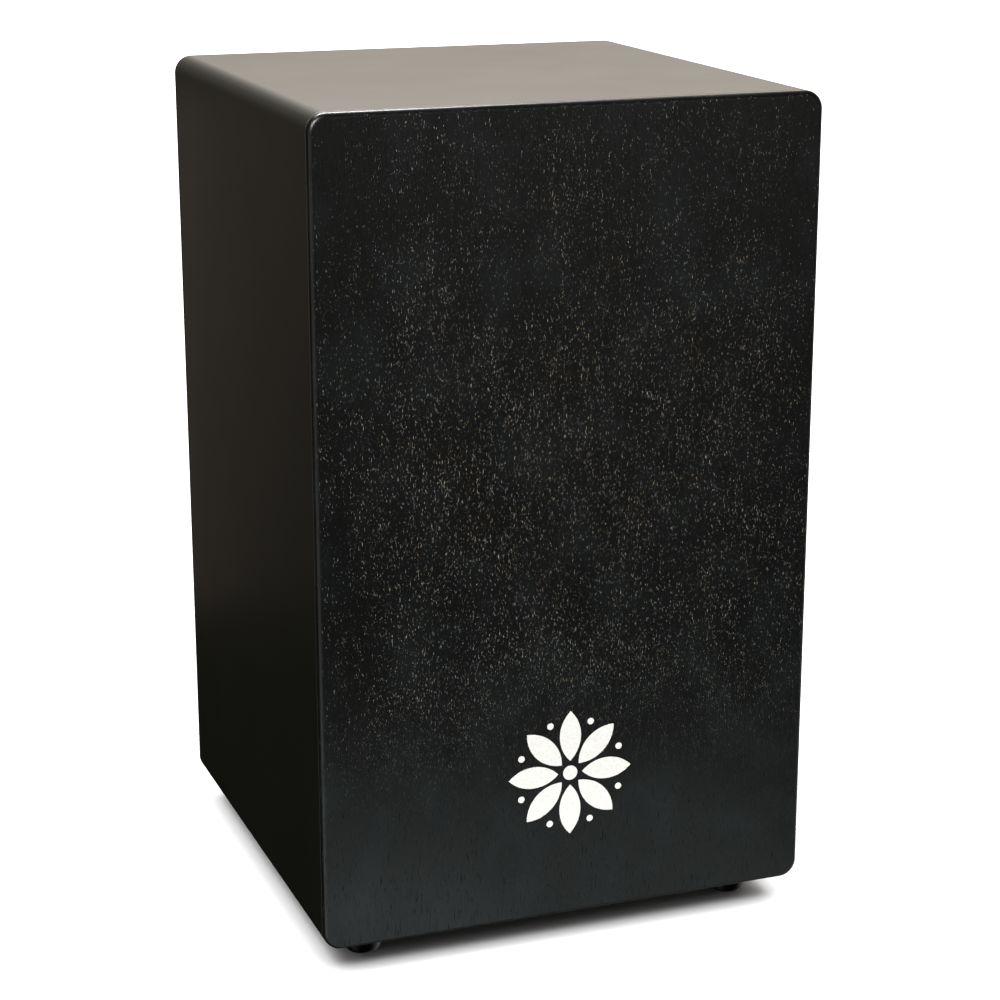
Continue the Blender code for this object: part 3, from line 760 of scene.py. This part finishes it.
def addFeet():
    for node in sorted(n for n in frame["nodes"] if n.startswith("foot_") and n.count("_") == 2):
        low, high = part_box(node)
        height = high.z - low.z
        centre = Vector(((low.x + high.x) / 2, (low.y + high.y) / 2, low.z))
        bm = turnedShape([
            (foot["topRadius"], height),
            (foot["topRadius"] - 0.3 * mm, height * 0.62),
            (foot["baseRadius"], 0),
            (foot["recessRadius"] + 0.4 * mm, 0),
            (foot["recessRadius"], foot["recessDepth"]),
            (foot["shankHole"], foot["recessDepth"]),
            (foot["shankHole"], height),
        ], foot["steps"], ring=True)

        def sharpOutside(radius):
            return [e for e in sharpEdges(bm, 40) if all(v.co.xy.length > radius for v in e.verts)]

        tread = [e for e in sharpOutside(7 * mm) if all(v.co.z < 1e-5 for v in e.verts)]
        bevelEdges(bm, tread, foot["edgeRadius"], 6)
        bevelEdges(bm, sharpOutside(4 * mm), foot["smallRadius"], 3)   # all but the shank's hole
        moved(bm, Matrix.Translation(centre))
        addPiece(camel(node), bm, [rubberBlack], nodes=[node])
    for node in sorted(n for n in frame["nodes"] if n.startswith("foot_washer")):
        low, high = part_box(node)
        bm = turnedShape([
            (washer["radius"], high.z - low.z), (washer["radius"], 0),
            (washer["bore"], 0), (washer["bore"], high.z - low.z),
        ], washer["steps"], ring=True)
        bevelEdges(bm, sharpEdges(bm, 40), washer["edge"], 2)
        moved(bm, Matrix.Translation(((low.x + high.x) / 2, (low.y + high.y) / 2, low.z)))
        addPiece(camel(node), bm, [steelZinc], nodes=[node])


addFeet()
print("feet made")


cornerBlock = {"tip": 2.0 * mm, "edge": 0.5 * mm}


def addCornerBlocks():
    for node in sorted(n for n in frame["nodes"] if n.startswith("corner_block")):
        low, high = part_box(node)
        right = 1 if node.endswith("right") else -1
        top = 1 if "top" in node else -1
        bm = boxShape(low, high)
        # the slanting face runs from one leg's tip to the other's
        far = Vector((low.x if right > 0 else high.x, 0, high.z if top > 0 else low.z))
        point = far + Vector((0, 0, -top * cornerBlock["tip"]))
        cut = bmesh.ops.bisect_plane(
            bm, geom=bm.verts[:] + bm.edges[:] + bm.faces[:], dist=1e-7, plane_co=point,
            plane_no=Vector((-right, 0, -top)).normalized(), clear_outer=True,
        )
        rim = [e for e in cut["geom_cut"] if isinstance(e, bmesh.types.BMEdge)]
        bmesh.ops.holes_fill(bm, edges=rim, sides=0)
        bmesh.ops.recalc_face_normals(bm, faces=bm.faces)
        bevelEdges(bm, sharpEdges(bm, 30), cornerBlock["edge"], 2)
        addPiece(camel(node), bm, [pineWood], nodes=[node])


addCornerBlocks()
print("corner blocks made")


rail = {"edge": 1.2 * mm}
bracket = {
    "thickness": 2 * mm, "bend": 3 * mm, "cornerRadius": 4 * mm, "edge": 0.25 * mm, "holeRadius": 1.8 * mm,
}


def addRail():
    low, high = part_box("snare_rail")
    bm = boxShape(low, high)
    bevelEdges(bm, sharpEdges(bm), rail["edge"], 3)
    addPiece("snareRail", bm, [beechWood], nodes=["snare_rail"])


def addBracket(hand):
    node = "rail_bracket_" + hand
    low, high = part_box(node)
    inward = 1 if hand == "left" else -1
    wallX = low.x if inward > 0 else high.x
    leg = high.z - low.z
    thick = bracket["thickness"]
    # the angle's outline, drawn out along its width
    outline = [(0, -leg), (0, 0), (leg, 0), (leg, -thick), (thick, -thick), (thick, -leg)]
    bm = bmesh.new()
    face = bm.faces.new([bm.verts.new((wallX + inward * x, low.y, high.z + z)) for x, z in outline])
    grown = bmesh.ops.extrude_face_region(bm, geom=[face])["geom"]
    bmesh.ops.translate(bm, verts=[g for g in grown if isinstance(g, bmesh.types.BMVert)],
                        vec=(0, high.y - low.y, 0))
    bmesh.ops.recalc_face_normals(bm, faces=bm.faces)

    def runsAt(x, z):
        spot = Vector((wallX + inward * x, high.z + z))
        return [e for e in edgesAlong(bm, 1) if (e.verts[0].co.xz - spot).length < 1e-6]

    bevelEdges(bm, runsAt(0, 0), bracket["bend"], 6)
    bevelEdges(bm, runsAt(thick, -thick), bracket["bend"] - thick, 4)
    ends = [e for e in edgesAlong(bm, 0) if all(abs(v.co.z - low.z) < 1e-6 for v in e.verts)]
    farX = wallX + inward * leg
    ends += [e for e in edgesAlong(bm, 2) if all(abs(v.co.x - farX) < 1e-6 for v in e.verts)]
    bevelEdges(bm, ends, bracket["cornerRadius"], 6)
    drills = []
    for screw in (f"bracket_screw_{hand}_1", f"bracket_screw_{hand}_2", f"rail_screw_{hand}"):
        screwLow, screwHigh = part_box(screw)
        drill = turnedShape([(0, 20 * mm), (bracket["holeRadius"], 20 * mm),
                             (bracket["holeRadius"], -20 * mm), (0, -20 * mm)], 32)
        centre = (screwLow + screwHigh) / 2
        drills.append(moved(drill, Matrix.Translation(centre) @ turnTo(headDirection(screw))))
    bm = cutAway(bm, joined(drills))
    bevelEdges(bm, sharpEdges(bm, 50), bracket["edge"], 2)
    addPiece(camel(node), bm, [steelZinc], nodes=[node])


addRail()
for hand in ("left", "right"):
    addBracket(hand)
print("rail made")


snare = {
    "strands": 10, "strandRadius": 1.0 * mm, "wireRadius": 0.21 * mm, "pitch": 1.05 * mm,
    "stepsPerTurn": 10, "wireSides": 5,
    "barHeight": 3.0 * mm, "barDepth": 2.0 * mm, "barEdge": 0.4 * mm,
    "blobWidth": 3.1 * mm, "blobDepth": 2.56 * mm,   # a blob of solder holds each strand to the bar
}
snarePlate = {"cornerRadius": 1.0 * mm, "edge": 0.12 * mm}
clamp = {"cornerRadius": 2.0 * mm, "edge": 0.3 * mm}


def coilShape(radius, wire, pitch, length):
    bm = bmesh.new()
    bmesh.ops.create_circle(bm, cap_ends=False, segments=snare["wireSides"], radius=wire)
    moved(bm, Matrix.Translation((radius, 0, 0)) @ Matrix.Rotation(math.radians(90), 4, "X"))
    steps = int(length / pitch * snare["stepsPerTurn"])
    bmesh.ops.spin(
        bm, geom=bm.verts[:] + bm.edges[:], cent=(0, 0, 0), axis=(0, 0, 1),
        dvec=(0, 0, pitch / snare["stepsPerTurn"]), angle=math.tau * steps / snare["stepsPerTurn"],
        steps=steps, use_merge=False,
    )
    bmesh.ops.holes_fill(bm, edges=[e for e in bm.edges if e.is_boundary], sides=0)
    bmesh.ops.recalc_face_normals(bm, faces=bm.faces)
    return bm


def addSnare(hand):
    node = "snare_wires_" + hand
    joint = next(j for j in frame["joints"] if j["child"] == hand + "_snare")
    root = Vector(joint["pos_m"])
    low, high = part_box(node)
    tip = Vector((root.x, low.y + snare["strandRadius"], high.z))
    run = tip - root
    run.x = 0
    wire = snare["wireRadius"]
    coil = coilShape(snare["strandRadius"] - wire, wire, snare["pitch"], run.length)
    turn = turnTo(run.normalized())
    spacing = (high.x - low.x) / snare["strands"]
    shapes = []
    for k in range(snare["strands"]):
        x = low.x + spacing * (k + 0.5)
        twist = Matrix.Rotation(math.radians(73 * k), 4, "Z")
        shapes.append(moved(coil.copy(), Matrix.Translation((x, root.y, root.z)) @ turn @ twist))
        blob = bmesh.new()
        bmesh.ops.create_uvsphere(blob, u_segments=12, v_segments=8, radius=1.0)
        blobSize = Vector((snare["blobWidth"], snare["blobDepth"], snare["barHeight"]))
        squash = Matrix.Diagonal((*(blobSize / 2), 1.0))
        for face in blob.faces:
            face.material_index = 1
        shapes.append(moved(blob, Matrix.Translation((x, root.y, root.z)) @ squash))
    coil.free()
    half = snare["barHeight"] / 2
    deep = snare["barDepth"] / 2
    bar = boxShape((low.x, root.y - deep, root.z - half), (high.x, root.y + deep, root.z + half * 0.6))
    bevelEdges(bar, sharpEdges(bar), snare["barEdge"], 3)
    for face in bar.faces:
        face.material_index = 1
    shapes.append(bar)
    addPiece(camel(node), joined(shapes), [steelSnare, tinSolder], body=hand + "_snare",
             nodes=[node], smooth=60, weighted=False)


def addSnarePlate(hand):
    node = "snare_plate_" + hand
    bm = boxShape(*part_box(node))
    bevelEdges(bm, edgesAlong(bm, 1), snarePlate["cornerRadius"], 4)
    bevelEdges(bm, sharpEdges(bm, 50), snarePlate["edge"], 2)
    addPiece(camel(node), bm, [steelSnare], nodes=[node])


def addClamp(hand):
    node = "snare_clamp_" + hand
    bm = boxShape(*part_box(node))
    bevelEdges(bm, edgesAlong(bm, 1), clamp["cornerRadius"], 5)
    bevelEdges(bm, sharpEdges(bm, 50), clamp["edge"], 2)
    addPiece(camel(node), bm, [steelZinc], nodes=[node])


for hand in ("left", "right"):
    addSnare(hand)
    addSnarePlate(hand)
    addClamp(hand)
print("snares made")


studio = {
    "floorSize": 60.0, "floorColour": 0xF4F4F4,
    "floorLight": 7.5, "floorLightSpread": 120,   # W per square metre, and degrees
    "key": {"from": (-0.50, -0.72, 0.50), "strength": 4.2, "spread": 30},
    # pale paper on the floor in front, which the lower part of the plate mirrors: one sheet across,
    # two more to the left
    "papers": (
        {"low": (-0.50, -0.39), "high": (0.60, -0.145), "power": 0.19},
        {"low": (-0.50, -0.39), "high": (0.17, -0.145), "power": 0.13},
        {"low": (-0.50, -0.39), "high": (-0.02, -0.145), "power": 0.09},
    ),
    "paperTint": 0xE6F4F6,
    "panels": {
        # overhead to the left, for the bright line along the plate's top edge
        "top panel": {"place": (-0.05, 0.42, 1.50), "aim": (-0.08, -0.14, 0.465), "size": (0.80, 0.34),
                      "power": 36.0, "tint": 0xFFFFFF},
        # low at the back left: the sheen on the left side, strongest at its top and back
        "side panel": {"place": (-0.21, 0.50, 0.20), "aim": (-0.14, 0.10, 0.20), "size": (0.11, 0.40),
                       "power": 0.024, "tint": 0xFFE6D6},
        # straight behind, below the seat and between the sides: into the sound hole
        "back panel": {"place": (0.0, 0.75, 0.36), "aim": (0.0, 0.14, 0.28), "size": (0.22, 0.14),
                       "power": 2.0, "tint": 0xFFF6EC},
    },
    # a card close over the floor, a little smaller than the drum, that deepens its contact shadow
    "card": {"height": 7 * mm, "inset": 6 * mm, "thickness": 0.5 * mm, "cornerRadius": 9 * mm},
}
# soft areas of the studio that the drum mirrors: where from, degrees out to which it is full and gone
glows = (
    {"from": (0.30, 0.86, 0.42), "full": 16, "gone": 48, "strength": 0.33, "tint": 0xFFF1E2},   # seat
    {"from": (0.45, 0.90, 0.10), "full": 14, "gone": 28, "strength": 1.25, "tint": 0xFFF1E0},   # seat
    {"from": (-0.24, 0.95, -0.05), "full": 8, "gone": 16, "strength": 0.06, "tint": 0xFFE6D6},   # left side
    {"from": (0.36, -0.92, 0.04), "full": 4, "gone": 15, "strength": 0.66, "tint": 0xFFFEFA},   # plate, high
    {"from": (-0.90, -0.35, -0.28), "full": 10, "gone": 35, "strength": 0.5, "tint": 0xFFFFFF},   # left edge
    {"from": (0.90, 0.35, -0.25), "full": 25, "gone": 60, "strength": 0.40, "tint": 0xFFFAF4},   # right side
)


def addFloor():
    bm = bmesh.new()
    bmesh.ops.create_grid(bm, x_segments=1, y_segments=1, size=studio["floorSize"] / 2)
    mesh = bpy.data.meshes.new("floor")
    bm.to_mesh(mesh)
    bm.free()
    material, tree, shader = newMaterial("white_paper", studio["floorColour"], 1.0)
    plug(tree, shader, {"Specular IOR Level": 0.0})
    mesh.materials.append(material)
    floor = bpy.data.objects.new("floor", mesh)
    bpy.context.scene.collection.objects.link(floor)
    floor.visible_diffuse = False   # the drum sees only the studio's lights and glows
    floor.visible_glossy = False
    floor.visible_shadow = False
    return floor


def addWorld():
    world = bpy.data.worlds.new("studio")
    bpy.context.scene.world = world
    world.use_nodes = True
    tree = world.node_tree
    tree.nodes.clear()
    direction = addNode(tree, "TexCoord").outputs["Generated"]
    total = None
    for glow in glows:
        toward = Vector(glow["from"]).normalized()
        nearness = addNode(tree, "VectorMath", {0: direction, 1: toward}, operation="DOT_PRODUCT")
        amount = addNode(tree, "MapRange", {
            "Value": nearness.outputs["Value"], "From Min": math.cos(math.radians(glow["gone"])),
            "From Max": math.cos(math.radians(glow["full"])), "To Max": glow["strength"],
        }, interpolation_type="SMOOTHSTEP")
        shine = addNode(tree, "Background", {"Color": colour(glow["tint"]), "Strength": amount})
        total = shine if total is None else addNode(tree, "AddShader", {0: total, 1: shine})
    white = addNode(tree, "Background", {"Color": (1, 1, 1, 1)})   # what the camera sees past the floor
    seen = addNode(tree, "LightPath").outputs["Is Camera Ray"]
    addNode(tree, "OutputWorld", {"Surface": addNode(tree, "MixShader", {0: seen, 1: total, 2: white})})


def addLight(name, kind, place, turn, receivers, power, tint=0xFFFFFF, **settings):
    data = bpy.data.lights.new(name, kind)
    data.energy = power
    data.color = colour(tint)[:3]
    for setting, value in settings.items():
        setattr(data, setting, value)
    light = bpy.data.objects.new(name, data)
    bpy.context.scene.collection.objects.link(light)
    light.matrix_world = Matrix.Translation(place) @ turn
    light.visible_camera = False
    light.light_linking.receiver_collection = receivers


def addLights(floor):
    floorOnly = bpy.data.collections.new("lit floor")
    bpy.context.scene.collection.children.link(floorOnly)
    floorOnly.objects.link(floor)
    addLight("floor light", "SUN", (0, 0, 3), Matrix(), floorOnly, studio["floorLight"],
             angle=math.radians(studio["floorLightSpread"]))
    key = studio["key"]
    addLight("key light", "SUN", (0, 0, 3), turnTo(key["from"]), drum, key["strength"],
             angle=math.radians(key["spread"]))
    for number, paper in enumerate(studio["papers"]):
        low, high = Vector(paper["low"]), Vector(paper["high"])
        middle = (low + high) / 2
        addLight("paper %d" % number, "AREA", (middle.x, middle.y, 0.001), turnTo((0, 0, -1)), drum,
                 paper["power"], studio["paperTint"], shape="RECTANGLE", size=high.x - low.x,
                 size_y=high.y - low.y)
    # all but the back plate and its screws
    inside = bpy.data.collections.new("lit through the sound hole")
    for piece in drum.objects:
        if not piece.name.startswith("back"):
            inside.objects.link(piece)
    for name, panel in studio["panels"].items():
        aim = turnTo(Vector(panel["place"]) - Vector(panel["aim"]))
        receivers = inside if name == "back panel" else drum
        addLight(name, "AREA", panel["place"], aim, receivers, panel["power"], panel["tint"],
                 shape="RECTANGLE", size=panel["size"][0], size_y=panel["size"][1])


def addShadowCard():
    card = studio["card"]
    low, high = cadLow.copy(), cadHigh.copy()
    for axis in (0, 1):
        low[axis] += card["inset"]
        high[axis] -= card["inset"]
    low.z, high.z = card["height"], card["height"] + card["thickness"]
    bm = boxShape(low, high)
    bevelEdges(bm, edgesAlong(bm, 2), card["cornerRadius"], 8)
    mesh = bpy.data.meshes.new("shadow card")
    bm.to_mesh(mesh)
    bm.free()
    blocker = bpy.data.objects.new("shadow card", mesh)
    bpy.context.scene.collection.objects.link(blocker)
    for ray in ("camera", "diffuse", "glossy", "transmission"):
        setattr(blocker, "visible_" + ray, False)


addWorld()
addLights(addFloor())
addShadowCard()
bpy.context.scene.view_settings.view_transform = "Standard"
print("studio set")
